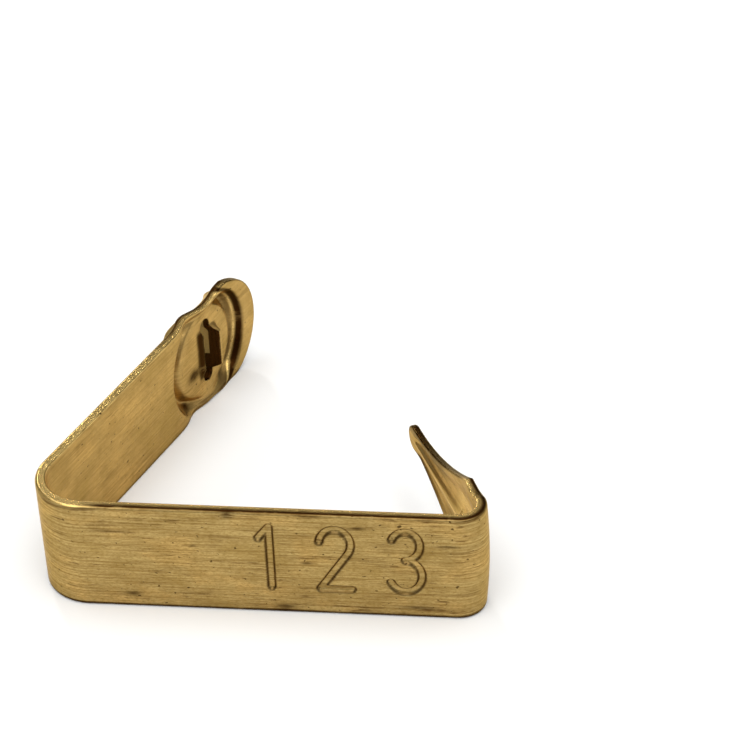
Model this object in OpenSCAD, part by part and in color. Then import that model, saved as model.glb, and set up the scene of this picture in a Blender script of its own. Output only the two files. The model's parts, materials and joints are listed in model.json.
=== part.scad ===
// Self-piercing poultry leg band, as supplied: one brass strip, stamped and bent into an open V.
// +X runs along the number plate from the heel to the tongue, +Y runs into the V, and +Z runs
// across the strip, so the band lies on its lower strip edge. The origin is under the middle of
// the band's bounding box. Each node is one zone of the strip, and the zones meet face to face.

/* [Strip] */
// Width of the strip
strip_w = 6; // [5:0.5:8]
// Thickness of the strip
strip_t = 0.5; // [0.4:0.05:0.6]

/* [Heel and arm] */
// Outer radius of the heel, where the strip turns back
heel_r = 2.4; // [1.8:0.1:2.8]
// Angle between the number plate and the arm, as supplied
open_angle = 67.5; // [60:0.5:75]
// Length of the arm's straight run, from the heel to the tip of the cap
arm_len = 18.7; // [18.2:0.1:20]
// Length of the plate, from the heel's bend to the tongue's bend
plate_len = 17.45; // [16:0.05:19]
// Height of the fold line above the outer face of the plate
fold_line_y = 0.4; // [0.25:0.05:0.5]

/* [Cap] */
// Distance from the heel to the middle of the boss, where the slot is
boss_at = 14.1; // [13.7:0.05:14.5]
// Diameter of the boss, a little more than the strip's width
boss_d = 6.9; // [6:0.1:7.4]
// Height of the boss above the arm's outer face
boss_h = 0.8; // [0.5:0.05:1]
// Depth of the dish in the boss, down from its crest to the slot
dish_depth = 0.5; // [0.2:0.05:0.6]
// Radius of the rounded end of the strip
cap_end_r = 3.2; // [3:0.05:3.6]

/* [Slot] */
// Length of the slot across the strip
slot_len = 4.2; // [3.8:0.1:4.6]
// Diameter of the slot's flared ends
slot_end_d = 0.8; // [0.6:0.05:1]
// Gap between the tongue and each side of the slot
slot_play = 0.1; // [0.06:0.01:0.14]
// Depth of the lips pressed inwards along the slot
lip_depth = 0.35; // [0.2:0.05:0.45]
// Thickness of each lip
lip_t = 0.28; // [0.2:0.02:0.35]

/* [Tongue] */
// Outer radius of the bend between the plate and the tongue
tongue_bend_r = 1.3; // [1:0.05:1.6]
// Lean of the tongue, inwards from square to the plate
lean = 24; // [20:0.5:28]
// Length of the tongue from its bend
tongue_len = 9.4; // [9:0.1:10.5]
// Distance from the bend to the two spurs at the tongue's shoulders
spur_at = 1.45; // [1.2:0.05:1.8]
// How far the strip's edges pull in between the bend and the spurs
neck_depth = 0.1; // [0:0.02:0.2]
// Thickness of the tongue beyond its spurs, where it is coined thinner
blade_t = 0.38; // [0.34:0.02:0.46]
// Width of the tongue at its rounded point
point_w = 1.3; // [0.9:0.1:1.6]
// How quickly the tongue narrows beyond the spurs
taper_power = 1.8; // [1.4:0.1:2.4]
// Distance from the bend to the slot when the band is closed
clasp_at = 4.4; // [4.1:0.1:4.8]
// Distance from the bend to the middle of the zone that folds when the point is clinched
clinch_at = 6.6; // [6.4:0.1:7]
// Length of the zone that folds when the point is clinched
clinch_flex_len = 1.0; // [0.8:0.1:1.2]

/* [Hidden] */
$fn = 96;

// How far a cutting shape reaches past the sheet
reach = 2;

// Arm: its direction, its outward normal and where its straight outer face starts
arm_dir = [cos(open_angle), sin(open_angle)];
arm_out = [-sin(open_angle), cos(open_angle)];
arm_start = [0, heel_r] + heel_r * arm_out;
arm_tip = arm_start + arm_len * arm_dir;
cap_end_at = arm_len - cap_end_r;

// Boss: the radius of its flat floor, crest and foot, and the height of each
boss_r = boss_d / 2;
floor_r = 0.6 * boss_r;
crest_r = 0.78 * boss_r;
crest_flat = 0.04 * boss_r;
foot_r = 0.95 * boss_r;
foot_h = 0.1 * boss_h;
crest_fall = 0.05 * boss_h;
slot_h = boss_h - dish_depth;
slot_mid = arm_start + boss_at * arm_dir + slot_h * arm_out;

// Tongue: its outward normal, its direction and where its middle line starts
bend_mid_r = tongue_bend_r - strip_t / 2;
lean_out = [cos(lean), sin(lean)];
lean_dir = [-sin(lean), cos(lean)];
root_start = [plate_len, tongue_bend_r] + bend_mid_r * lean_out;
point_r = point_w / 2;
point_at = tongue_len - point_r;
side_steps = 24;
tip_step_deg = 15;

// Closing fold: the arm turns about a line as far from the slot as from the tongue at clasp_at,
// so the slot comes down to that place on the tongue
clasp = root_start + clasp_at * lean_dir;
from_clasp = [clasp[0], clasp[1] - fold_line_y];
from_slot = [slot_mid[0], slot_mid[1] - fold_line_y];
fold_line_x = (from_clasp * from_clasp - from_slot * from_slot) / (clasp[0] - slot_mid[0]) / 2;
fold_line = [fold_line_x, fold_line_y];
heel_flex_len = 2 * fold_line_x;

// Slot: half its width, where it lies about the fold line, and half the angle that its cut covers
slot_arm = slot_mid - fold_line;
arc_r = norm(slot_arm);
slot_gap = blade_t / 2 + slot_play;
slot_deg = atan2(slot_arm[1], slot_arm[0]);
slot_sweep = 6;
slot_straight = (slot_len - slot_end_d) / 2;
lip_half_w = 0.36 * slot_len;

// Half width of the tongue at a distance s from its bend
function half_w(s) = s < spur_at
    ? strip_w / 2 - neck_depth * sin(180 * s / spur_at)
    : point_r + (strip_w / 2 - point_r) * pow((point_at - s) / (point_at - spur_at), taper_power);

// The whole band, centred on the origin in X and Y
centre_x = (plate_len + tongue_bend_r - heel_r) / 2;
centre_y = arm_tip[1] / 2;

// Moves the strip's own profile frame to the band's frame
module placed() {
    translate([-centre_x, -centre_y, 0]) children();
}

// A frame on the arm's outer face: X along the arm, Z outwards, at a distance s from the heel
module on_arm(s) {
    translate([arm_start[0] + s * arm_dir[0], arm_start[1] + s * arm_dir[1], strip_w / 2])
        rotate([-90, 0, open_angle]) children();
}

// A bend of the strip about a centre, from one angle through a sweep
module bend(centre, outer_r, from_deg, sweep) {
    translate([centre[0], centre[1], 0])
        rotate([0, 0, from_deg])
            rotate_extrude(angle = sweep)
                translate([outer_r - strip_t, 0]) square([strip_t, strip_w]);
}

// A flat run of the plate
module plate_run(x0, x1) {
    translate([x0, 0, 0]) cube([x1 - x0, strip_t, strip_w]);
}

// A shell about the fold line, between two angles and two radii, in a band of heights
module fold_shell(r0, r1, deg0, deg1, z0, z1) {
    translate([fold_line[0], fold_line[1], 0])
        rotate([0, 0, deg0])
            rotate_extrude(angle = deg1 - deg0)
                translate([r0, z0]) square([r1 - r0, z1 - z0]);
}

// Outline of the tongue, laid flat: two concave sides and a rounded point
module tongue_outline() {
    side = [for (i = [0:side_steps]) let (s = point_at * i / side_steps) [s, half_w(s)]];
    tip = [for (a = [90 - tip_step_deg:-tip_step_deg:0]) [point_at + point_r * cos(a), point_r * sin(a)]];
    upper = concat(side, tip);
    lower = [for (i = [len(upper) - 2:-1:0]) [upper[i][0], -upper[i][1]]];
    polygon(concat(upper, lower));
}

// A stretch of the tongue between two distances from its bend
module tongue_run(s0, s1, thick) {
    translate([root_start[0], root_start[1], strip_w / 2])
        rotate([0, 0, lean])
            translate([-thick / 2, 0, 0])
                rotate([90, 0, 90])
                    linear_extrude(thick)
                        intersection() {
                            tongue_outline();
                            translate([s0, -strip_w / 2]) square([s1 - s0, strip_w]);
                        }
}

// Sheet of the boss: its outer face rises to a crest and dishes down to the slot
function boss_face(drop) = [
    [0, slot_h - drop],
    [floor_r, slot_h - drop],
    [crest_r - 2 * crest_flat, boss_h - crest_fall - drop],
    [crest_r - crest_flat, boss_h - drop],
    [crest_r + crest_flat, boss_h - crest_fall - drop],
    [foot_r, foot_h - drop],
    [boss_r, -drop]
];
function reversed(list) = [for (i = [len(list) - 1:-1:0]) list[i]];

module boss_sheet() {
    rotate_extrude() polygon(concat(boss_face(0), reversed(boss_face(strip_t))));
}

// Everything outside the boss's inner face
module above_boss_inside() {
    rotate_extrude() polygon(concat([[boss_r, reach], [0, reach]], boss_face(strip_t)));
}

// The slot: an arc about the fold line, so the tongue slides through it, with flared ends
module slot_cut() {
    fold_shell(arc_r - slot_gap, arc_r + slot_gap, slot_deg - slot_sweep, slot_deg + slot_sweep,
        strip_w / 2 - slot_straight, strip_w / 2 + slot_straight);
    for (side = [-1, 1])
        on_arm(boss_at)
            translate([0, side * slot_straight, -reach]) cylinder(h = 2 * reach, d = slot_end_d);
}

module number_plate() {
    color("darkgoldenrod") placed() plate_run(heel_flex_len, plate_len);
}

module heel_flex() {
    color("goldenrod") placed() plate_run(0, heel_flex_len);
}

module heel_bend() {
    color("peru") placed() bend([0, heel_r], heel_r, 90 + open_angle, 180 - open_angle);
}

module slotted_arm() {
    color("darkkhaki") placed() difference() {
        on_arm(0) translate([0, -strip_w / 2, -strip_t]) cube([boss_at, strip_w, strip_t]);
        on_arm(boss_at) translate([0, 0, -reach]) cylinder(h = 2 * reach, r = boss_r);
    }
}

module cap_boss() {
    color("gold") placed() difference() {
        intersection() {
            on_arm(boss_at) boss_sheet();
            on_arm(boss_at)
                translate([-boss_d, -strip_w / 2, -reach]) cube([2 * boss_d, strip_w, 2 * reach]);
        }
        slot_cut();
    }
}

module cap_rim() {
    color("khaki") placed() difference() {
        intersection() {
            on_arm(cap_end_at) translate([0, 0, -strip_t]) cylinder(h = strip_t, r = cap_end_r);
            on_arm(boss_at) translate([0, -strip_w / 2, -reach]) cube([boss_d, strip_w, 2 * reach]);
        }
        on_arm(boss_at) translate([0, 0, -reach]) cylinder(h = 2 * reach, r = boss_r);
    }
}

module slot_lips() {
    color("darkgoldenrod") placed() for (side = [-1, 1])
        difference() {
            lip_mid_r = arc_r + side * (slot_gap + lip_t / 2);
            intersection() {
                fold_shell(lip_mid_r - lip_t / 2, lip_mid_r + lip_t / 2,
                    slot_deg - slot_sweep, slot_deg + slot_sweep,
                    strip_w / 2 - lip_half_w, strip_w / 2 + lip_half_w);
                on_arm(boss_at) translate([-reach, -strip_w / 2, slot_h - strip_t - lip_depth])
                    cube([2 * reach, strip_w, reach]);
            }
            on_arm(boss_at) above_boss_inside();
        }
}

module tongue_bend() {
    color("peru") placed() bend([plate_len, tongue_bend_r], tongue_bend_r, -90, 90 + lean);
}

module tongue_root() {
    color("khaki") placed() tongue_run(0, spur_at, strip_t);
}

module tongue_blade() {
    color("gold") placed() tongue_run(spur_at, clinch_at - clinch_flex_len / 2, blade_t);
}

module point_flex() {
    color("goldenrod") placed()
        tongue_run(clinch_at - clinch_flex_len / 2, clinch_at + clinch_flex_len / 2, blade_t);
}

module tongue_point() {
    color("gold") placed() tongue_run(clinch_at + clinch_flex_len / 2, tongue_len + point_r, blade_t);
}

number_plate();
heel_flex();
heel_bend();
slotted_arm();
cap_boss();
cap_rim();
slot_lips();
tongue_bend();
tongue_root();
tongue_blade();
point_flex();
tongue_point();
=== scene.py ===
"""Looks of a self-piercing poultry leg band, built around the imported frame.

The band is one stamped brass strip. Each stretch of it starts as a flat blank in strip
coordinates, in millimetres: u runs along the strip, from the cap (negative) over the heel (0 at
the plate's end) to the tongue's point, and z runs across it. The blank is meshed flat, then its
two faces are pressed, stamped and bent to the strip's profile, and its edges are rounded.
"""
import json
import math

import bpy
import numpy as np
from mathutils import Matrix, Vector

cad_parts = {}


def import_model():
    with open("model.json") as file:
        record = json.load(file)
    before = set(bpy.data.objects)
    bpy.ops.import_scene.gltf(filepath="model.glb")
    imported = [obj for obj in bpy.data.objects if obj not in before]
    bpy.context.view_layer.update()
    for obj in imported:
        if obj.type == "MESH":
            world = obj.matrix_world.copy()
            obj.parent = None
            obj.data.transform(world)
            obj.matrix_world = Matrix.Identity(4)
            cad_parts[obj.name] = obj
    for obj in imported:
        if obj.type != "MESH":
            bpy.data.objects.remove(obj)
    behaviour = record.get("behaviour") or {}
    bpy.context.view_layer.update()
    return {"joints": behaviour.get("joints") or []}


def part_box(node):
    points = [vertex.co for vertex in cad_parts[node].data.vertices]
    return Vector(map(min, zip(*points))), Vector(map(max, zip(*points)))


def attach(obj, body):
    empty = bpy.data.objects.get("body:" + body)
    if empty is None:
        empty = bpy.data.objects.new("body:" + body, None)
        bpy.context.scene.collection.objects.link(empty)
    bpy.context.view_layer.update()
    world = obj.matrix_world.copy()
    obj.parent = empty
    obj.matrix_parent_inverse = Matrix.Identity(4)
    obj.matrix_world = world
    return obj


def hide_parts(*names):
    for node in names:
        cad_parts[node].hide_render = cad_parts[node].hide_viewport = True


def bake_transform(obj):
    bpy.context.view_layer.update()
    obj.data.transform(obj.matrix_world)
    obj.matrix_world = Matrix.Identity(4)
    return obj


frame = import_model()

MM = 0.001


# ---- Sizes from the frame, in millimetres ----------------------------------------------------

def box_mm(node):
    low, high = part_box(node)
    return np.array(low) / MM, np.array(high) / MM


def joint_point(name):
    place = next(j["pos_m"] for j in frame["joints"] if j["name"] == name)
    return np.array(place[:2]) / MM


def direction(angle):
    return np.array([math.cos(angle), math.sin(angle)])


plate_low, plate_high = box_mm("number_plate")
flex_low, flex_high = box_mm("heel_flex")
heel_low, heel_high = box_mm("heel_bend")
_, bend_high = box_mm("tongue_bend")
boss_low, boss_high = box_mm("cap_boss")
_, rim_high = box_mm("cap_rim")

# Strip and plate. The profile's own zero is where the heel meets the plate's outer face.
ZERO = np.array([flex_low[0], plate_low[1]])
STRIP_W = plate_high[2] - plate_low[2]
STRIP_T = plate_high[1] - plate_low[1]
MID_Z = STRIP_W / 2
HALF_T = STRIP_T / 2
FLEX_LEN = flex_high[0] - ZERO[0]
PLATE_LEN = plate_high[0] - ZERO[0]
FOLD = joint_point("arm_fold") - ZERO
CLINCH = joint_point("point_clinch") - ZERO

# Heel and arm
HEEL_R = ZERO[0] - heel_low[0]
HEEL_Y = HEEL_R
OPEN = math.acos((heel_high[1] - ZERO[1] - HEEL_Y) / HEEL_R)
HEEL_ARC = (HEEL_R - HALF_T) * (math.pi - OPEN)
ARM_DIR = direction(OPEN)
ARM_OUT = direction(OPEN + math.pi / 2)
ARM_START = np.array([0, HEEL_Y]) + HEEL_R * ARM_OUT
ARM_LEN = (rim_high[1] - ZERO[1] - ARM_START[1]) / math.sin(OPEN)

# Boss: its middle and radius along the arm
boss_y = (boss_low[1] + boss_high[1]) / 2 - ZERO[1] + HALF_T * math.cos(OPEN)
BOSS_AT = (boss_y - ARM_START[1]) / math.sin(OPEN)
BOSS_R = (boss_high[1] - boss_low[1] - STRIP_T * math.cos(OPEN)) / 2 / math.sin(OPEN)

# Tongue: a bend, then a straight run that leans in
BEND_R = bend_high[0] - plate_high[0]
LEAN = math.asin((bend_high[1] - ZERO[1] - BEND_R) / BEND_R)
BEND_ARC = (BEND_R - HALF_T) * (math.pi / 2 + LEAN)
ROOT_START = np.array([PLATE_LEN, BEND_R]) + (BEND_R - HALF_T) * direction(LEAN)
LEAN_DIR = direction(LEAN + math.pi / 2)
TONGUE_U = PLATE_LEN + BEND_ARC
CLINCH_AT = (CLINCH - ROOT_START) @ LEAN_DIR

# ---- Sizes of the stamped features, in millimetres --------------------------------------------

TONGUE_LEN = 9.4
SPUR_AT = 1.45
NECK_DEPTH = 0.12
BLADE_T = 0.38
POINT_R = 0.65
POINT_AT = TONGUE_LEN - POINT_R
TAPER_POWER = 1.8
CLINCH_FLEX = 1.0

CAP_END_R = 3.2
CAP_END_AT = ARM_LEN - CAP_END_R
SLOT_STRAIGHT = 1.5
SLOT_END_R = 0.37
SLOT_GAP = 0.29
SLOT_H = 0.3
CAP_SEAM = BOSS_AT - BOSS_R - 0.3

OUTER_EDGE_R = 0.15
INNER_EDGE_R = 0.07
SLOT_EDGE_R = 0.09

# Stands for the distance to anything that is out of reach
FAR = 9.0


# ---- The strip's profile ----------------------------------------------------------------------

def arc_points(centre, radius, angle):
    out = np.stack([np.cos(angle), np.sin(angle)], 1)
    return centre + radius * out, out


def profile(u):
    """Middle of the sheet, and its outward normal, in the profile plane at each u."""
    u = np.asarray(u, float)
    middle = np.zeros((len(u), 2))
    out = np.zeros((len(u), 2))
    arm = u < -HEEL_ARC
    heel = (u >= -HEEL_ARC) & (u < 0)
    plate = (u >= 0) & (u < PLATE_LEN)
    bend = (u >= PLATE_LEN) & (u < TONGUE_U)
    tongue = u >= TONGUE_U
    along = -HEEL_ARC - u[arm]
    middle[arm] = ARM_START + along[:, None] * ARM_DIR - HALF_T * ARM_OUT
    out[arm] = ARM_OUT
    angle = 1.5 * math.pi + u[heel] / (HEEL_R - HALF_T)
    middle[heel], out[heel] = arc_points([0, HEEL_Y], HEEL_R - HALF_T, angle)
    middle[plate] = np.stack([u[plate], np.full(plate.sum(), HALF_T)], 1)
    out[plate] = [0, -1]
    angle = -math.pi / 2 + (u[bend] - PLATE_LEN) / (BEND_R - HALF_T)
    middle[bend], out[bend] = arc_points([PLATE_LEN, BEND_R], BEND_R - HALF_T, angle)
    along = u[tongue] - TONGUE_U
    middle[tongue] = ROOT_START + along[:, None] * LEAN_DIR
    out[tongue] = direction(LEAN)
    return middle, out


def smooth(x, start, end):
    """Eases from 0 at start to 1 at end."""
    t = np.clip((x - start) / (end - start), 0, 1)
    return t * t * (3 - 2 * t)


def bell(x, middle, width):
    """A bump 1 high in the middle."""
    return np.exp(-(((x - middle) / width) ** 2))


def rounded_interp(x, knots, soft=0.035, steps=5):
    """A polyline through knots, with its corners rounded."""
    knots = np.array(knots)
    shifts = np.linspace(-soft, soft, steps)
    return sum(np.interp(x + shift, knots[:, 0], knots[:, 1]) for shift in shifts) / steps


# ---- Outlines -----------------------------------------------------------------------------------

def tongue_half_width(s):
    neck = MID_Z - NECK_DEPTH * np.sin(np.pi * np.clip(s / SPUR_AT, 0, 1))
    left = np.clip((POINT_AT - s) / (POINT_AT - SPUR_AT), 0, 1)
    taper = POINT_R + (MID_Z - POINT_R) * left ** TAPER_POWER
    tip = np.sqrt(np.clip(POINT_R ** 2 - np.clip(s - POINT_AT, 0, None) ** 2, 1e-4, None))
    return np.where(s < SPUR_AT, neck, np.where(s < POINT_AT, taper, tip))


def cap_half_width(p):
    """Half width of the cap's sides, at p along the arm from the middle of the boss."""
    shoulder = 0.13 * smooth(p, 0.2, 1.9)
    return MID_Z + shoulder - 0.1 * bell(p, 0.1, 0.8) + 0.03 * bell(p, -1.6, 0.6)


# ---- Stamped digits -----------------------------------------------------------------------------

def line(*points):
    return [np.array(points, float)]


def loop(cx, cy, rx, ry, start=0, end=360):
    angle = np.radians(np.linspace(start, end, 28))
    return [np.stack([cx + rx * np.cos(angle), cy + ry * np.sin(angle)], 1)]


# Strokes of each digit, in a cell 1 wide and DIGIT_H high that is then narrowed by SLIM
DIGIT_H = 2.15
SLIM = 0.87
DIGITS = {
    "1": line((0.32, 1.75), (0.67, DIGIT_H), (0.67, 0)),
    "2": loop(0.5, 1.6, 0.5, 0.55, 170, -35) + line((0.91, 1.28), (0, 0), (1, 0)),
    "3": loop(0.48, 1.64, 0.46, 0.51, 155, -90) + loop(0.48, 0.56, 0.52, 0.57, 90, -155),
    "4": line((0.76, 0), (0.76, DIGIT_H), (0, 0.62), (1, 0.62)),
    "5": line((0.94, DIGIT_H), (0.14, DIGIT_H), (0.08, 1.2)) + loop(0.46, 0.68, 0.52, 0.68, 132, -150),
    "6": loop(0.5, 0.62, 0.5, 0.62) + loop(1.02, 0.7, 1.02, 1.45, 180, 112),
    "7": line((0, DIGIT_H), (1, DIGIT_H), (0.36, 0)),
    "8": loop(0.5, 1.62, 0.42, 0.53) + loop(0.5, 0.54, 0.5, 0.55),
    "9": loop(0.5, 1.53, 0.5, 0.62) + loop(-0.02, 1.45, 1.02, 1.45, 0, -68),
}
DIGITS = {digit: [stroke * (SLIM, 1) for stroke in strokes] for digit, strokes in DIGITS.items()}


def stroke_distance(x, y, strokes):
    best = np.full(len(x), FAR)
    here = np.stack([x, y], 1)
    for stroke in strokes:
        for a, b in zip(stroke[:-1], stroke[1:]):
            span = b - a
            t = np.clip((here - a) @ span / (span @ span), 0, 1)
            best = np.minimum(best, np.linalg.norm(here - a - t[:, None] * span, axis=1))
    return best


def digit_row(x, y, text, places, width, base):
    """Distance to the nearest stroke of a row of digits, in millimetres."""
    best = np.full(len(x), FAR)
    for digit, left in zip(text, places):
        cell_x = (x - left) / width
        cell_y = (y - base) / width
        near = (np.abs(cell_x - 0.5) < 1.2) & (np.abs(cell_y - DIGIT_H / 2) < 1.8)
        if near.any():
            found = width * stroke_distance(cell_x[near], cell_y[near], DIGITS[digit])
            best[near] = np.minimum(best[near], found)
    return best


PLATE_TEXT = "123"
PLATE_DIGIT_W = 1.68
PLATE_DIGIT_BASE = 1.58
PLATE_PITCH = 3.27
PLATE_FIRST = 7.82
PLATE_PLACES = [PLATE_FIRST + i * PLATE_PITCH for i in range(len(PLATE_TEXT))]

ARM_TEXT = "456789"
ARM_DIGIT_W = 0.95
ARM_DIGIT_BASE = 2.1
ARM_PITCH = 1.62
ARM_FIRST_AT = 9.9
ARM_PLACES = [i * ARM_PITCH for i in range(len(ARM_TEXT))]


def stamp_distances(u, z):
    plate = digit_row(u, z, PLATE_TEXT, PLATE_PLACES, PLATE_DIGIT_W, PLATE_DIGIT_BASE)
    from_cap = ARM_FIRST_AT + HEEL_ARC + u
    arm = digit_row(from_cap, z, ARM_TEXT, ARM_PLACES, ARM_DIGIT_W, ARM_DIGIT_BASE)
    return plate, arm


def groove(distance, depth, flat, half, lip):
    """A stamped stroke: flat in the middle, steep out to its half width, with raised lips."""
    cut = -depth * (1 - smooth(distance, flat, half))
    return cut + lip * bell(distance, half + 0.07, 0.07)


# ---- Press forms ----------------------------------------------------------------------------------

# The cap's ring: its height at each radius, from the dished middle over the crest to the foot
FLOOR_R = 2.3
CREST_R = 2.88
KINK_R = 3.24
FOOT_R = 3.5
RING = [
    (0, 0.30), (FLOOR_R, 0.30), (2.5, 0.36), (2.76, 0.74), (CREST_R, 0.81), (3.02, 0.75),
    (KINK_R, 0.50), (3.38, 0.3), (FOOT_R, 0.02), (FOOT_R + 0.08, 0), (FAR, 0),
]


# From here outwards the ring fades into the cap's side edges
CAP_SIDE = (2.1, 2.95)


def cap_place(u, z):
    """Place on the cap: p along the arm and q across it, from the middle of the boss."""
    return -HEEL_ARC - u - BOSS_AT, z - MID_Z


def boss_height(p, q):
    """How far the sheet is pressed outwards, at (p, q) from the middle of the boss."""
    ring = rounded_interp(np.hypot(p, q), RING)
    side = smooth(np.abs(q), *CAP_SIDE)
    edge_lift = 0.3 * bell(p, -1.45, 0.85) + 0.07 * bell(p, 1.9, 0.8)
    dome = -0.07 * bell(p, 1.2, 0.5) * bell(q, 0.2, 1.2)
    return (ring + dome) * (1 - side) + edge_lift * side


# Swell of the tongue's root, and marks of use on the plate
BARREL = 0.13
DENTS = [
    # along the plate, across it, length, width, depth
    (9.4, 0.35, 0.5, 0.12, 0.05), (15.6, 0.6, 0.8, 0.07, 0.03), (2.2, 0.8, 0.4, 0.1, 0.03),
    (6.9, 5.85, 0.25, 0.14, 0.07), (12.9, 5.3, 0.35, 0.06, 0.03), (5.2, 3.9, 0.2, 0.05, 0.03),
    (1.5, 4.6, 0.9, 0.05, 0.02), (17.1, 4.4, 0.5, 0.05, 0.02), (10.5, 3.1, 0.3, 0.05, 0.02),
]

# Lips of the slot inside the cap, on its tip side and its heel side, and depth of the gutters
LIP_TALL = 0.55
LIP_LOW = 0.1
GUTTER_DEPTH = 0.15


def press(u, z):
    """Common move of both faces, outwards: the boss, and the barrelled edge of the tongue's root."""
    p, q = cap_place(u, z)
    s = u - TONGUE_U
    barrel = smooth(s, -1.9, -1.0) * (1 - smooth(s, -0.4, 0.9))
    return boss_height(p, q) + BARREL * barrel * (1 - (q / MID_Z) ** 2)


def outer_form(u, z):
    """Shape of the outer face on its own: stamped strokes, dents and marks by the slot."""
    p, q = cap_place(u, z)
    plate, arm = stamp_distances(u, z)
    shape = groove(plate, 0.13, 0.11, 0.22, 0.03)
    shape = shape + groove(arm, 0.1, 0.06, 0.15, 0.025)
    for along, across, length, width, depth in DENTS:
        shape = shape - depth * bell(u, along, length) * bell(z, across, width)
    shape = shape - 0.12 * bell(p, 0.72, 0.17) * bell(q, 0.35, 0.7)
    shape = shape - 0.1 * bell(p, -0.68, 0.14) * bell(q, 0.3, 0.6)
    return shape


def inner_form(u, z):
    """Shape of the inner face on its own, measured into the V: ghosts of the stamping, the slot's
    lips, the gutters along the tongue and the small pip at its root."""
    p, q = cap_place(u, z)
    s = u - TONGUE_U
    plate, arm = stamp_distances(u, z)
    shape = 0.008 * bell(plate, 0, 0.25) + 0.006 * bell(arm, 0, 0.18)
    tall = LIP_TALL * (1 - smooth(p, 0.5, 1.25))
    low = LIP_LOW * (1 - smooth(-p, 0.45, 0.6))
    shape = shape + np.where(p > 0, tall, low) * (1 - smooth(np.abs(q), 1.0, 1.42))
    share = np.abs(q + 0.12) / np.maximum(tongue_half_width(s), 0.3)
    gutter = smooth(share, 0.1, 0.3) * (1 - smooth(share, 0.62, 0.92))
    run = smooth(s, 0.1, 1.0) * (1 - smooth(s, POINT_AT - 1, POINT_AT))
    shape = shape - GUTTER_DEPTH * gutter * run
    return shape + 0.05 * bell(s, 2.2, 0.07) * bell(q, 0.35, 0.3)


# ---- Painted shade and highlights, as shares from 0 to 1 ------------------------------------------

def cap_painted_shade(p, q, edge, slot, outside):
    """Painted shade: in and by the slot, in the ring's groove and crease, the hollow and punch marks;
    darker rim.
    """
    inside = 1 - outside
    radius = np.hypot(p, q)
    # Painted shade in the slot, beside its lip and on the walls of the ring's groove
    slot_shade = (1 - smooth(slot, 0.04, 0.1)) * (p > 0)
    beside_slot = smooth(-p, 0.3, 0.38) * (1 - smooth(-p, 0.62, 0.85))
    beside_slot = beside_slot * smooth(q, -1.7, -1.3) * (1 - smooth(q, 1.3, 1.7))
    groove_foot = smooth(radius, KINK_R, KINK_R + 0.1) * (1 - smooth(radius, 3.42, 3.52))
    groove_top = smooth(radius, CREST_R - 0.1, CREST_R)
    groove_top = groove_top * (1 - smooth(radius, KINK_R - 0.1, KINK_R - 0.04))
    wall = (groove_foot + 0.5 * groove_top) * smooth(p, 0.4, 1.6)
    # Painted shade in the hollow beside the slot; darker at a notch and along the rim's edge
    hollow = 1.2 * bell(p, -1.15, 0.55) * bell(q, -0.75, 0.35)
    notch = bell(p, -1.9, 0.35) * bell(q, -2.38, 0.17)
    outline = 0.8 * (1 - smooth(edge, 0.03, 0.1)) * smooth(p, 1.0, 2.6)
    # On the outer face: painted shade in the crease at the ring's foot and in the punch marks
    crease = 0.7 * bell(radius, FOOT_R, 0.07)
    punch_marks = 0.7 * (bell(p, 0.75, 0.14) + bell(p, -0.7, 0.12)) * bell(q, 0.3, 0.75)
    within = slot_shade + beside_slot + wall + hollow + notch + outline
    return within * inside + (crease + punch_marks) * outside


def tongue_edges_and_shade(s, q, edge, outside):
    """Dark shear edges of the tongue, with painted shade on its upper flange and its lower corner."""
    share = q / np.maximum(tongue_half_width(s), 0.3)
    shear = 0.75 * smooth(s, 1.2, 2.2) * (1 - smooth(edge, 0.04, 0.12))
    # Painted shade: a dark band on the upper flange, and the lower flank darker
    flange = 0.6 * smooth(s, 3.4, 5.2) * smooth(share, 0.3, 0.45)
    corner = 0.35 * smooth(s, 0.4, 1.2) * (1 - smooth(s, 3.5, 5)) * (1 - smooth(share, -0.5, -0.3))
    return shear + (flange + corner) * (1 - outside)


def painted_shade_and_dents(u, z, edge, slot, outside):
    """All the painted shade, with darker dents and painted shade along the edge that the band stands on."""
    p, q = cap_place(u, z)
    s = u - TONGUE_U
    dark = cap_painted_shade(p, q, edge, slot, outside) + tongue_edges_and_shade(s, q, edge, outside)
    # Painted shade along the bottom edge, where the band stands on the floor
    dark = dark + (1 - smooth(z, 0.12, 0.24)) * (0.6 + 0.4 * outside) * (s < 1)
    # Darker in the dents on the outer face
    for along, across, length, width, _ in DENTS:
        dark = dark + 0.75 * bell(u, along, length) * bell(z, across, 1.4 * width) * outside
    return np.clip(dark, 0, 1)


def painted_highlights(u, z, outside):
    """Painted highlights: light lines on the ring's kink inside and its crest outside, the tongue's crease
    and panel.
    """
    p, q = cap_place(u, z)
    s = u - TONGUE_U
    radius = np.hypot(p, q)
    kink = bell(radius, KINK_R - 0.01, 0.035) * smooth(p, 0.3, 1.2)
    crease = bell(q, -0.12, 0.06) * smooth(s, 0.9, 1.4) * (1 - smooth(s, 4.5, 6.5))
    panel = 0.6 * smooth(s, 0.2, 0.5) * (1 - smooth(s, 2.0, 3.2))
    panel = panel * smooth(q, 0.0, 0.2) * (1 - smooth(q, 1.5, 2.1))
    crest = 0.7 * bell(radius, CREST_R - 0.1, 0.12)
    return crest * outside + (kink + crease + panel) * (1 - outside)


# ---- Sheet and edges --------------------------------------------------------------------------------

def thickness(u):
    s = u - TONGUE_U
    return STRIP_T - (STRIP_T - BLADE_T) * smooth(s, SPUR_AT - 0.6, SPUR_AT + 0.8)


def edge_drop(distance, radius):
    """How far a face falls back near an edge that is rounded to this radius."""
    short = np.clip(radius - distance, 0, radius)
    return radius - np.sqrt(np.clip(radius ** 2 - short ** 2, 0, None))


# ---- Flat blanks -----------------------------------------------------------------------------------

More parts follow.
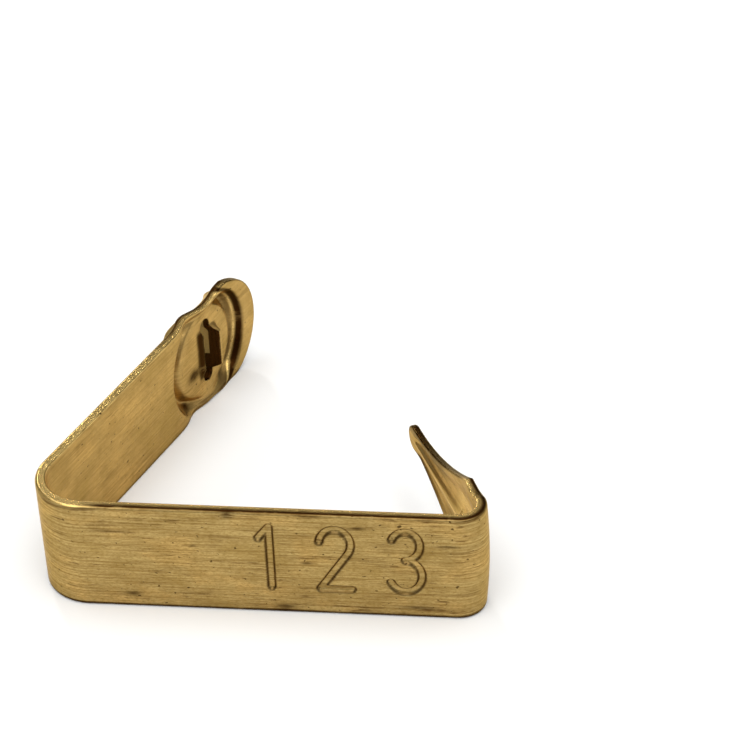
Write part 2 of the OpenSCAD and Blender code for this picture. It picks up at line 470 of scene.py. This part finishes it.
class Blank:
    """A flat mesh in strip coordinates: points, quads, and each point's distance to an edge."""

    def __init__(self, u, z, edge, slot, quads, ghost):
        self.u, self.z, self.edge, self.slot = u, z, edge, slot
        self.quads, self.ghost = quads, ghost


def stepped(*stops):
    """Places from a chain of (start, step) pairs that ends with a bare end."""
    places = []
    for (start, step), following in zip(stops[:-1], stops[1:]):
        end = following if np.isscalar(following) else following[0]
        count = max(1, round((end - start) / step))
        places.extend(np.linspace(start, end, count, endpoint=False))
    return np.array(places + [stops[-1]])


EDGE_RINGS = OUTER_EDGE_R * (1 - np.cos(np.linspace(0, np.pi / 2, 7)))
GHOST_STEP = 0.04


def across(half_width, inner):
    """Points across the strip: rings at fixed distances from both edges, and inner shares."""
    margin = EDGE_RINGS[-1] * np.minimum(1, half_width / 0.35)
    rings = EDGE_RINGS / EDGE_RINGS[-1]
    low = -half_width[:, None] + margin[:, None] * rings
    middle = (half_width - margin)[:, None] * inner
    return np.concatenate([low, middle, -low[:, ::-1]], 1)


def grid_blank(rows, half_width, inner, seam_start=True, seam_end=True):
    """A run of the strip, with a ghost row past each seam so that shading carries across it."""
    if seam_start:
        rows = np.concatenate([[rows[0] - GHOST_STEP], rows])
    if seam_end:
        rows = np.concatenate([rows, [rows[-1] + GHOST_STEP]])
    half = half_width(rows)
    q = across(half, inner)
    slope = (half_width(rows + 0.01) - half_width(rows - 0.01)) / 0.02
    lean = np.cos(np.arctan(slope))
    edge = np.clip((half[:, None] - np.abs(q)) * lean[:, None], 0, None)
    past_tip = rows - TONGUE_U - POINT_AT
    tip_edge = POINT_R - np.hypot(np.clip(past_tip, 0, None)[:, None], q)
    edge = np.where(past_tip[:, None] > 0, np.clip(tip_edge, 0, None), edge)
    count_u, count_z = q.shape
    index = np.arange(count_u * count_z).reshape(count_u, count_z)
    quads = np.stack([index[:-1, :-1], index[1:, :-1], index[1:, 1:], index[:-1, 1:]], -1)
    ghost = np.zeros(quads.shape[:2], bool)
    ghost[0] |= bool(seam_start)
    ghost[-1] |= bool(seam_end)
    u = np.repeat(rows, count_z)
    no_slot = np.full(len(u), FAR)
    return Blank(u, (q + MID_Z).ravel(), edge.ravel(), no_slot, quads.reshape(-1, 4), ghost.ravel())


def path_points(path, count, start=False):
    """Points at equal steps along a dense path."""
    steps = np.concatenate([[0], np.cumsum(np.linalg.norm(np.diff(path, axis=0), axis=1))])
    wanted = np.linspace(0, steps[-1], count + 1)[0 if start else 1:]
    return np.stack([np.interp(wanted, steps, path[:, i]) for i in range(2)], 1)


def polyline_distance(points, path):
    best = np.full(len(points), FAR)
    for a, b in zip(path[:-1], path[1:]):
        span = b - a
        t = np.clip((points - a) @ span / max(span @ span, 1e-12), 0, 1)
        best = np.minimum(best, np.linalg.norm(points - a - t[:, None] * span, axis=1))
    return best


CAP_SHOULDER = math.radians(78)
CAP_ARC_POINTS = 46
CAP_SHOULDER_POINTS = 36
CAP_SIDE_POINTS = 56
CAP_SEAM_POINTS = 34
CAP_RINGS = 84


def cap_quarter():
    """Quarter of the cap's outline at q >= 0, from its tip to the middle of the seam."""
    centre = CAP_END_AT - BOSS_AT
    seam = CAP_SEAM - BOSS_AT
    angle = np.linspace(0, CAP_SHOULDER, 200)
    end = np.stack([centre + CAP_END_R * np.cos(angle), CAP_END_R * np.sin(angle)], 1)
    shoulder_p = end[-1, 0]
    p = np.linspace(shoulder_p, 0, 120)
    blend = smooth(p, shoulder_p - 1.2, shoulder_p)
    half = cap_half_width(p) * (1 - blend) + end[-1, 1] * blend
    shoulder = np.stack([p, half], 1)
    p = np.linspace(0, seam, 120)
    side = np.stack([p, cap_half_width(p) + (MID_Z - cap_half_width(p)) * smooth(p, -2.6, seam)], 1)
    rings = MID_Z - EDGE_RINGS[1:]
    inner = np.linspace(rings[-1], 0, CAP_SEAM_POINTS - len(rings) + 1)[1:]
    across_seam = np.concatenate([rings, inner])
    seam_line = np.stack([np.full(len(across_seam), seam), across_seam], 1)
    edge = [path_points(end, CAP_ARC_POINTS, True), path_points(shoulder, CAP_SHOULDER_POINTS),
            path_points(side, CAP_SIDE_POINTS)]
    return np.concatenate(edge), seam_line


def slot_quarter(count):
    """Quarter of the slot's outline at q >= 0, from its tip side to its heel side."""
    turn = math.asin(SLOT_GAP / SLOT_END_R)
    reach = SLOT_STRAIGHT - SLOT_END_R * math.cos(turn)
    angle = np.linspace(-(math.pi / 2 - turn), math.pi + (math.pi / 2 - turn), 160)
    end = np.stack([SLOT_END_R * np.cos(angle), SLOT_STRAIGHT + SLOT_END_R * np.sin(angle)], 1)
    straight = np.linspace(0, reach, 40)[:, None]
    up = np.hstack([np.full_like(straight, SLOT_GAP), straight])
    down = np.hstack([np.full_like(straight, -SLOT_GAP), straight[::-1]])
    return path_points(np.concatenate([up[:-1], end, down[1:]]), count, True)


def cap_blank():
    """The cap, meshed in rings from the slot's outline to the cap's own."""
    edge_line, seam_line = cap_quarter()
    outline = np.concatenate([edge_line, seam_line])
    mirror = outline[1:-1][::-1] * [1, -1]
    outline = np.concatenate([outline, mirror])
    slot = slot_quarter(len(edge_line) + len(seam_line) - 1)
    slot = np.concatenate([slot, slot[1:-1][::-1] * [1, -1]])
    span = outline - slot
    length = np.linalg.norm(span, axis=1)[:, None]
    near = EDGE_RINGS / length
    slot_near = np.linspace(0, 0.8, 15) / length
    between = np.linspace(0, 1, CAP_RINGS - near.shape[1] - slot_near.shape[1] + 2)[1:-1]
    middle = slot_near[:, -1:] + (1 - near[:, -1:] - slot_near[:, -1:]) * between
    share = np.concatenate([slot_near, middle, 1 - near[:, ::-1]], 1)
    points = slot[:, None] + share[..., None] * span[:, None]
    count, rings = share.shape
    index = np.arange(count * rings).reshape(count, rings)
    following = np.roll(index, -1, 0)
    quads = np.stack([index[:, :-1], following[:, :-1], following[:, 1:], index[:, 1:]], -1)
    points = points.reshape(-1, 2)
    edge_path = np.concatenate([edge_line[::-1], edge_line[1:] * [1, -1]])
    edge = polyline_distance(points, edge_path)
    slot_edge = polyline_distance(points, np.vstack([slot, slot[:1]]))
    seam_from = len(edge_line) - 1
    seam_to = count - seam_from
    seam_index = index[seam_from:seam_to + 1, -1]
    ghosts = points[seam_index] - [GHOST_STEP, 0]
    first = len(points)
    ghost_index = first + np.arange(len(ghosts))
    ghost_quads = np.stack([seam_index[:-1], seam_index[1:], ghost_index[1:], ghost_index[:-1]], -1)
    edge = np.concatenate([edge, MID_Z - np.abs(ghosts[:, 1])])
    slot_edge = np.concatenate([slot_edge, np.full(len(ghosts), FAR)])
    points = np.concatenate([points, ghosts])
    quads = np.concatenate([quads.reshape(-1, 4), ghost_quads])
    ghost = np.arange(len(quads)) >= len(quads) - len(ghost_quads)
    edge[edge < 1e-6] = 0
    slot_edge[slot_edge < 1e-6] = 0
    u = -HEEL_ARC - BOSS_AT - points[:, 0]
    return Blank(u, points[:, 1] + MID_Z, edge, slot_edge, quads, ghost)


# ---- From blank to solid ----------------------------------------------------------------------------

# The slot is cut square to its own path round the fold, so its walls slant to the sheet
slot_middle = ARM_START + BOSS_AT * ARM_DIR + SLOT_H * ARM_OUT
SLOT_SLANT = -math.tan(math.atan2(*(slot_middle - FOLD)[::-1]) - OPEN)
SLOT_SLANT_REACH = 0.9


def bent(u, z, height, slot):
    """A face of the blank bent to the profile, height being measured out from mid-sheet."""
    middle, out = profile(u)
    plane = middle + height[:, None] * out
    slant = SLOT_SLANT * (height - HALF_T - SLOT_H) * (1 - smooth(slot, 0, SLOT_SLANT_REACH))
    plane = plane + slant[:, None] * ARM_DIR
    return np.column_stack([plane + ZERO, z]) * MM


def vertex_normals(points, faces):
    """Unit normal of each point, from the quads round it, weighted by their areas."""
    cross = np.cross(points[faces[:, 2]] - points[faces[:, 0]], points[faces[:, 3]] - points[faces[:, 1]])
    total = np.zeros_like(points)
    for corner in range(4):
        np.add.at(total, faces[:, corner], cross)
    return total / np.maximum(np.linalg.norm(total, axis=1), 1e-20)[:, None]


def directed_edges(quads, count):
    """Every quad's edges, with a key for each and the key that it has the other way round."""
    pairs = np.concatenate([quads[:, [i, (i + 1) % 4]] for i in range(4)])
    return pairs, pairs[:, 0] * count + pairs[:, 1], pairs[:, 1] * count + pairs[:, 0]


def two_faces(blank):
    """Points of the blank's outer face and then of its inner face, pressed, stamped and bent."""
    u, z = blank.u, blank.z
    pressed = press(u, z)
    half = thickness(u) / 2
    slot_round = edge_drop(blank.slot, SLOT_EDGE_R)
    outer_round = edge_drop(blank.edge, OUTER_EDGE_R) + slot_round
    inner_round = edge_drop(blank.edge, INNER_EDGE_R) + slot_round
    outer = bent(u, z, pressed + half + outer_form(u, z) - outer_round, blank.slot)
    inner = bent(u, z, pressed - half - inner_form(u, z) + inner_round, blank.slot)
    return np.concatenate([outer, inner])


def edge_walls(edges, count):
    """Quads that join edges of the outer face to the same edges of the inner one."""
    return np.stack([edges[:, 0], edges[:, 0] + count, edges[:, 1] + count, edges[:, 1]], 1)


def closed_faces(blank):
    """Faces of the closed piece, faces that its shading takes in, and the number of seam faces."""
    count = len(blank.u)
    real = blank.quads[~blank.ghost]
    pairs, keys, reverse = directed_edges(real, count)
    all_pairs, all_keys, all_reverse = directed_edges(blank.quads, count)
    is_open = ~np.isin(reverse, keys)
    is_seam = np.isin(reverse, all_keys) & is_open
    rim = pairs[is_open & ~is_seam]
    seam = pairs[is_seam]
    all_rim = all_pairs[~np.isin(all_reverse, all_keys)]
    touching = (blank.edge < 1e-6) | (blank.slot < 1e-6)
    all_rim = all_rim[touching[all_rim].all(1)]
    walls = [edge_walls(rim, count), edge_walls(seam, count)]
    faces = np.concatenate([real, real[:, ::-1] + count, *walls])
    shaded = np.concatenate([blank.quads, blank.quads[:, ::-1] + count, edge_walls(all_rim, count)])
    return faces, shaded, len(seam)


def set_attribute(mesh, name, values):
    layer = mesh.attributes.new(name, "FLOAT", "POINT")
    layer.data.foreach_set("value", np.asarray(values, np.float32))


# A highlight is painted on the edge round the heel: where it begins and ends, eased at each end
EDGE_HIGHLIGHT_FROM = (-17.0, -12.0)
EDGE_HIGHLIGHT_TO = (-0.2, 1.2)


def paint(mesh, blank, used):
    """Gives the mesh's points the shares that the material reads."""
    count = len(blank.u)
    source = used % count
    u, z, edge, slot = (values[source] for values in (blank.u, blank.z, blank.edge, blank.slot))
    outside = np.where(used < count, 1.0, 0.0)
    plate, arm = stamp_distances(u, z)
    strokes = np.maximum(bell(plate, 0.18, 0.05), bell(arm, 0.12, 0.04))
    # Painted highlight along the edge round the heel
    edge_highlight = smooth(u, *EDGE_HIGHLIGHT_FROM) * (1 - smooth(u, *EDGE_HIGHLIGHT_TO))
    # Painted shade along the outer face's edges, weaker where the heel's edge has its painted highlight,
    # and a painted dark line beside it
    corner = (1 - 0.75 * edge_highlight) * (1 - smooth(edge, 0.0, 0.06)) + 0.5 * edge_highlight * bell(edge, 0.13, 0.05)
    # Paler inner edges, with the painted highlights
    pale_edge_and_highlight = (1 - outside) * (1 - smooth(np.minimum(edge, slot), 0.0, 0.1)) + painted_highlights(u, z, outside)
    pale_edge_and_highlight = pale_edge_and_highlight + edge_highlight * (1 - smooth(edge, 0.04, 0.1))
    # Dark share: the stamped strokes, painted shade along the edges, and the painted shade and darker dents
    dark = outside * (0.7 * strokes + corner) + painted_shade_and_dents(u, z, edge, slot, outside)
    set_attribute(mesh, "outside", outside)
    set_attribute(mesh, "pale_edge_and_highlight", np.clip(pale_edge_and_highlight, 0, 1))
    set_attribute(mesh, "dark", np.clip(dark, 0, 1))
    # Painted shade on the slot's walls
    set_attribute(mesh, "slot_shade", (slot < 0.03) * np.where(z < MID_Z - 0.4, 1.0, 1 - outside))
    set_attribute(mesh, "rim", 1 - smooth(edge, 0.2, 1.6))


def unroll(mesh, blank, corners):
    """UV map of the flat strip, 10 mm to 1, with the inner face 3 above the outer one."""
    count = len(blank.u)
    across_uv = blank.z[corners % count] / 10 + 3.0 * (corners >= count)
    strip_uv = np.stack([blank.u[corners % count] / 10, across_uv], 1)
    layer = mesh.uv_layers.new(name="strip")
    layer.data.foreach_set("uv", strip_uv.astype(np.float32).ravel())


def corner_normals(points, faces, shaded, seam_count, corners):
    """Smooth normals that carry across the seams, and flat ones on the seams' own faces."""
    normals = vertex_normals(points, shaded)[corners].reshape(-1, 4, 3)
    if seam_count:
        flat = faces[-seam_count:]
        cross = np.cross(points[flat[:, 2]] - points[flat[:, 0]], points[flat[:, 3]] - points[flat[:, 1]])
        normals[-seam_count:] = (cross / np.linalg.norm(cross, axis=1)[:, None])[:, None]
    return normals.reshape(-1, 3)


def solid(name, blank, material):
    """Presses, bends and closes a blank, and makes it a Blender object."""
    points = two_faces(blank)
    faces, shaded, seam_count = closed_faces(blank)
    used, place = np.unique(faces, return_inverse=True)
    place = place.reshape(-1, 4)
    corners = used[place.ravel()]
    mesh = bpy.data.meshes.new(name)
    mesh.from_pydata(points[used].tolist(), [], place.tolist())
    mesh.polygons.foreach_set("use_smooth", np.ones(len(faces), bool))
    paint(mesh, blank, used)
    unroll(mesh, blank, corners)
    mesh.materials.append(material)
    mesh.update()
    normals = corner_normals(points, faces, shaded, seam_count, corners)
    mesh.normals_split_custom_set(normals.tolist())
    piece = bpy.data.objects.new(name, mesh)
    bpy.context.scene.collection.objects.link(piece)
    return piece


# ---- Material -----------------------------------------------------------------------------------------

class Graph:
    """Small helper that adds and joins shader nodes."""

    def __init__(self, tree):
        self.tree = tree

    def node(self, kind, inputs=None, **settings):
        made = self.tree.nodes.new(kind)
        for key, value in settings.items():
            setattr(made, key, value)
        for key, value in (inputs or {}).items():
            if isinstance(value, bpy.types.NodeSocket):
                self.tree.links.new(value, made.inputs[key])
            else:
                made.inputs[key].default_value = value
        return made

    def math(self, operation, a, b=0.0, clamp=False):
        made = self.node("ShaderNodeMath", {0: a, 1: b}, operation=operation, use_clamp=clamp)
        return made.outputs[0]

    def ramp(self, value, low, high, to_low=0.0, to_high=1.0):
        made = self.node("ShaderNodeMapRange", {0: value, 1: low, 2: high, 3: to_low, 4: to_high},
                         interpolation_type="SMOOTHSTEP")
        return made.outputs[0]

    def mix(self, share, a, b):
        made = self.node("ShaderNodeMix", data_type="RGBA")
        for socket, value in ((made.inputs[0], share), (made.inputs[6], a), (made.inputs[7], b)):
            if isinstance(value, bpy.types.NodeSocket):
                self.tree.links.new(value, socket)
            else:
                socket.default_value = value
        return made.outputs[2]

    def noise(self, vector, cycles, detail, rough):
        """Noise with so many cycles in 10 mm along the strip and across it."""
        placed = self.node("ShaderNodeMapping", {"Vector": vector, "Scale": (*cycles, 1)})
        made = self.node("ShaderNodeTexNoise",
                         {"Vector": placed.outputs[0], "Scale": 1.0, "Detail": detail, "Roughness": rough})
        return made.outputs[0]

    def attribute(self, name):
        return self.node("ShaderNodeAttribute", attribute_name=name).outputs["Fac"]


def srgb(red, green, blue):
    """Linear colour of an sRGB triple from 0 to 255."""
    def linear(value):
        value /= 255
        return value / 12.92 if value <= 0.04045 else ((value + 0.055) / 1.055) ** 2.4
    return (linear(red), linear(green), linear(blue), 1)


# Brass, from clean to tarnished, and the colours of the painted highlights and painted shade
INNER_GOLD = srgb(186, 153, 92)
OUTER_GOLD = srgb(188, 161, 102)
DULL = srgb(160, 132, 70)
WARM = srgb(214, 174, 104)
OLIVE = srgb(135, 107, 55)
BROWN = srgb(90, 62, 29)
# Colour of the painted highlights and the paler edges
PALE_HIGHLIGHT_GOLD = srgb(239, 204, 127)
PIT = srgb(69, 48, 23)
# Colour of the painted shade, the stamped strokes and the dents
SHADE_AND_MARK_BROWN = srgb(50, 27, 6)
EDGE_TINT = (1.0, 0.84, 0.58, 1)


def brass_material():
    """Tarnished brass: fine drawing lines along the strip, brown patches, pits, pale edges, painted
    highlights and shade.
    """
    material = bpy.data.materials.new("stamped_brass")
    material.use_nodes = True
    tree = material.node_tree
    tree.nodes.clear()
    g = Graph(tree)
    strip = g.node("ShaderNodeUVMap", uv_map="strip").outputs[0]
    outside = g.attribute("outside")
    pale_edge_and_highlight = g.attribute("pale_edge_and_highlight")
    dark = g.attribute("dark")
    rim = g.attribute("rim")
    slot_shade = g.attribute("slot_shade")
    lines = g.noise(strip, (2.2, 90), 3.0, 0.65)
    hairs = g.noise(strip, (5, 220), 2.0, 0.6)
    patches = g.noise(strip, (4, 16), 4.0, 0.6)
    blotches = g.noise(strip, (9, 12), 4.0, 0.65)
    clouds = g.noise(strip, (2.6, 4.2), 3.0, 0.6)
    grain = g.noise(strip, (50, 110), 3.0, 0.75)
    specks = g.noise(strip, (34, 48), 2.0, 0.5)
    scuffs = g.noise(strip, (7, 62), 3.0, 0.55)

    # Colour, from clean metal to tarnished metal, then painted highlights and painted shade
    texture = g.ramp(outside, 0, 1, 0.45, 1.0)
    colour = g.mix(outside, INNER_GOLD, OUTER_GOLD)
    colour = g.mix(g.ramp(clouds, 0.5, 0.66, 0.0, 0.45), colour, DULL)
    colour = g.mix(g.ramp(clouds, 0.5, 0.36, 0.0, 0.45), colour, WARM)
    colour = g.mix(g.math("MULTIPLY", g.ramp(lines, 0.38, 0.7, 0.0, 0.75), texture), colour, OLIVE)
    colour = g.mix(g.ramp(blotches, 0.42, 0.72, 0.0, 0.4), colour, OLIVE)
    colour = g.mix(g.math("MULTIPLY", g.ramp(grain, 0.4, 0.72, 0.0, 0.75), texture), colour, OLIVE)
    smears = g.math("MULTIPLY", g.ramp(patches, 0.5, 0.68), g.ramp(lines, 0.4, 0.58))
    smears = g.math("MULTIPLY", smears, g.ramp(rim, 0, 1, 0.5, 1.3))
    colour = g.mix(g.math("MULTIPLY", smears, g.math("MULTIPLY", texture, 0.75)), colour, BROWN)
    scuffed = g.math("MULTIPLY", g.ramp(scuffs, 0.62, 0.7, 0.0, 0.8), texture)
    colour = g.mix(g.math("MULTIPLY", scuffed, g.ramp(clouds, 0.62, 0.42, 0.25, 1.0)), colour, BROWN)
    # Painted highlights, and the paler edges
    pale_and_highlighted = g.math("MULTIPLY", pale_edge_and_highlight, g.ramp(blotches, 0.35, 0.6, 0.3, 1.0))
    colour = g.mix(pale_and_highlighted, colour, PALE_HIGHLIGHT_GOLD)
    pits = g.ramp(specks, 0.68, 0.72)
    colour = g.mix(g.math("MULTIPLY", pits, 0.85), colour, PIT)
    # Painted shade, with the stamped strokes and dents, and painted shade on the slot's walls
    shade_and_marks = g.math("MULTIPLY", dark, g.ramp(blotches, 0.3, 0.5, 0.75, 1.1), clamp=True)
    shade_and_marks = g.math("MAXIMUM", shade_and_marks, g.ramp(slot_shade, 0.4, 0.5))
    colour = g.mix(shade_and_marks, colour, SHADE_AND_MARK_BROWN)

    # Roughness and relief
    rough = g.ramp(lines, 0.3, 0.7, 0.30, 0.42)
    rough = g.math("SUBTRACT", rough, g.math("MULTIPLY", pale_edge_and_highlight, 0.1))
    relief = g.math("ADD", g.math("MULTIPLY", lines, 0.5), g.math("MULTIPLY", hairs, 0.3))
    relief = g.math("ADD", relief, g.math("MULTIPLY", grain, g.ramp(pale_edge_and_highlight, 0, 1, 0.25, 1.2)))
    relief = g.math("SUBTRACT", relief, g.math("MULTIPLY", g.math("MAXIMUM", pits, scuffed), 0.5))
    bump = g.node("ShaderNodeBump", {"Height": relief, "Strength": 0.5, "Distance": 0.00003})
    tangent = g.node("ShaderNodeTangent", direction_type="UV_MAP", uv_map="strip")
    shader = g.node("ShaderNodeBsdfPrincipled",
                    {"Base Color": colour, "Roughness": rough, "Metallic": 1.0, "Anisotropic": 0.3,
                     "Specular Tint": EDGE_TINT, "Normal": bump.outputs[0],
                     "Tangent": tangent.outputs[0]})
    g.node("ShaderNodeOutputMaterial", {"Surface": shader.outputs[0]})
    return material


# ---- Pieces ----------------------------------------------------------------------------------------------

def full_width(u):
    return np.full(len(u), MID_Z)


def tongue_width(u):
    return np.where(u < TONGUE_U, MID_Z, tongue_half_width(u - TONGUE_U))


def shares(*stops):
    """Inner points across the strip, as shares of the half width between the edge rings."""
    limit = MID_Z - EDGE_RINGS[-1]
    return (stepped(*stops)[1:-1] - MID_Z) / limit


def at_rest(u, height=0.0):
    """A point of the row frame on the strip's middle line."""
    middle, out = profile(np.array([u]))
    return (*((middle[0] + height * out[0] + ZERO) * MM), MID_Z * MM)


brass = brass_material()
LOW_Z = EDGE_RINGS[-1]
HIGH_Z = STRIP_W - EDGE_RINGS[-1]
plain_across = shares((LOW_Z, 0.09), HIGH_Z)
plate_across = shares((LOW_Z, 0.08), (1.1, 0.045), (5.6, 0.08), HIGH_Z)
arm_across = shares((LOW_Z, 0.08), (1.8, 0.04), (4.4, 0.08), HIGH_Z)

# Mesh steps along the strip
STAMP_STEP = 0.045
PLAIN_STEP = 0.1
BEND_STEP = 0.05
FOLD_STEP = 0.06
TIGHT_STEP = 0.04

arm_far = -HEEL_ARC - CAP_SEAM
cap = solid("cap_shell", cap_blank(), brass)
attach(cap, "arm")
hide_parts("cap_boss", "cap_rim", "slot_lips")

arm_rows = stepped((arm_far, STAMP_STEP), -HEEL_ARC)
arm = solid("arm_strip", grid_blank(arm_rows, full_width, arm_across), brass)
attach(arm, "arm")
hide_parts("slotted_arm")

heel_rows = stepped((-HEEL_ARC, BEND_STEP), 0.0)
heel = solid("heel_strip", grid_blank(heel_rows, full_width, plain_across), brass)
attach(heel, "arm")
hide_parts("heel_bend")

fold_rows = stepped((0.0, FOLD_STEP), FLEX_LEN)
fold = solid("heel_fold", grid_blank(fold_rows, full_width, plain_across), brass)
at_rest(FLEX_LEN)
at_rest(0.0)
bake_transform(fold)
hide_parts("heel_flex")

plate_rows = stepped((FLEX_LEN, PLAIN_STEP), (PLATE_FIRST - 0.4, STAMP_STEP), (17.0, PLAIN_STEP),
                     PLATE_LEN)
plate = solid("plate_strip", grid_blank(plate_rows, full_width, plate_across), brass)
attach(plate, "root")
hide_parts("number_plate")

spur_u = TONGUE_U + SPUR_AT
clinch_u = TONGUE_U + CLINCH_AT
base_rows = stepped((PLATE_LEN, TIGHT_STEP), (TONGUE_U, FOLD_STEP), spur_u)
base = solid("tongue_base", grid_blank(base_rows, tongue_width, plain_across), brass)
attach(base, "root")
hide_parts("tongue_bend", "tongue_root")

flex_u = (clinch_u - CLINCH_FLEX / 2, clinch_u + CLINCH_FLEX / 2)
blade_rows = stepped((spur_u, BEND_STEP), flex_u[0])
blade = solid("tongue_blade_strip", grid_blank(blade_rows, tongue_width, plain_across), brass)
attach(blade, "root")
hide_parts("tongue_blade")

point_fold_rows = stepped((flex_u[0], TIGHT_STEP), flex_u[1])
point_fold = solid("point_fold", grid_blank(point_fold_rows, tongue_width, plain_across), brass)
at_rest(flex_u[0])
at_rest(flex_u[1])
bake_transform(point_fold)
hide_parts("point_flex")

round_from = TONGUE_U + POINT_AT
tip_turn = POINT_R * np.sin(np.radians(np.linspace(0, 86, 16)))
tip_rows = np.concatenate([stepped((flex_u[1], BEND_STEP), round_from), round_from + tip_turn[1:]])
point = solid("point_tip", grid_blank(tip_rows, tongue_width, plain_across, seam_end=False), brass)
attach(point, "point")
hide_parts("tongue_point")


# ---- Stage, light and camera ----------------------------------------------------------------------------

def white_card():
    mesh = bpy.data.meshes.new("floor")
    reach = 1.5
    mesh.from_pydata([(-reach, -reach, 0), (reach, -reach, 0), (reach, reach, 0), (-reach, reach, 0)],
                     [], [(0, 1, 2, 3)])
    material = bpy.data.materials.new("white_card")
    material.use_nodes = True
    shader = material.node_tree.nodes["Principled BSDF"]
    shader.inputs["Base Color"].default_value = (0.93, 0.93, 0.92, 1)
    shader.inputs["Roughness"].default_value = 0.9
    mesh.materials.append(material)
    card = bpy.data.objects.new("floor", mesh)
    bpy.context.scene.collection.objects.link(card)


def soft_light(name, place, size, power):
    light = bpy.data.lights.new(name, "AREA")
    light.shape = "RECTANGLE"
    light.size, light.size_y = size
    light.energy = power
    lamp = bpy.data.objects.new(name, light)
    lamp.location = place
    lamp.rotation_mode = "QUATERNION"
    lamp.rotation_quaternion = (-Vector(place)).to_track_quat("-Z", "Y")
    bpy.context.scene.collection.objects.link(lamp)


def world():
    """A white tent, a little darker behind, at the height that the strip's edges mirror."""
    sky = bpy.data.worlds.new("studio")
    sky.use_nodes = True
    bpy.context.scene.world = sky
    tree = sky.node_tree
    tree.nodes.clear()
    g = Graph(tree)
    toward = g.node("ShaderNodeTexCoord").outputs["Generated"]
    split = g.node("ShaderNodeSeparateXYZ", {0: toward})
    behind = g.ramp(split.outputs[1], 0.0, 0.6)
    tone = g.mix(behind, (1.0, 1.0, 1.0, 1), (0.4, 0.4, 0.39, 1))
    shade = g.node("ShaderNodeBackground", {"Color": tone, "Strength": 0.56})
    g.node("ShaderNodeOutputWorld", {"Surface": shade.outputs[0]})


ELEVATION = math.radians(36.84)
TURN = math.radians(-6.163)
ROLL = math.radians(-1.877)
SENSOR = 36.0
LENS = 115.2
CAMERA_PLACE = np.array([22.871, -82.646, 76.381])


def camera():
    data = bpy.data.cameras.new("camera")
    data.sensor_width = SENSOR
    data.lens = LENS
    data.clip_start, data.clip_end = 0.001, 10
    eye = bpy.data.objects.new("camera", data)
    forward = Vector((math.sin(TURN) * math.cos(ELEVATION), math.cos(TURN) * math.cos(ELEVATION),
                      -math.sin(ELEVATION)))
    level = Vector((math.cos(TURN), -math.sin(TURN), 0))
    right = level * math.cos(ROLL) + level.cross(forward) * math.sin(ROLL)
    up = right.cross(forward)
    place = Vector(CAMERA_PLACE * MM) + Vector((*ZERO, 0)) * MM
    turn = Matrix((right, up, -forward)).transposed().to_4x4()
    eye.matrix_world = Matrix.Translation(place) @ turn
    bpy.context.scene.collection.objects.link(eye)
    bpy.context.scene.camera = eye


white_card()
world()
soft_light("overhead_softbox", (0.0, -0.12, 0.7), (0.9, 0.9), 5.6)
soft_light("back_sparkle", (-0.35, 0.75, 0.62), (0.09, 0.09), 1.5)
camera()
bpy.context.scene.view_settings.view_transform = "Standard"
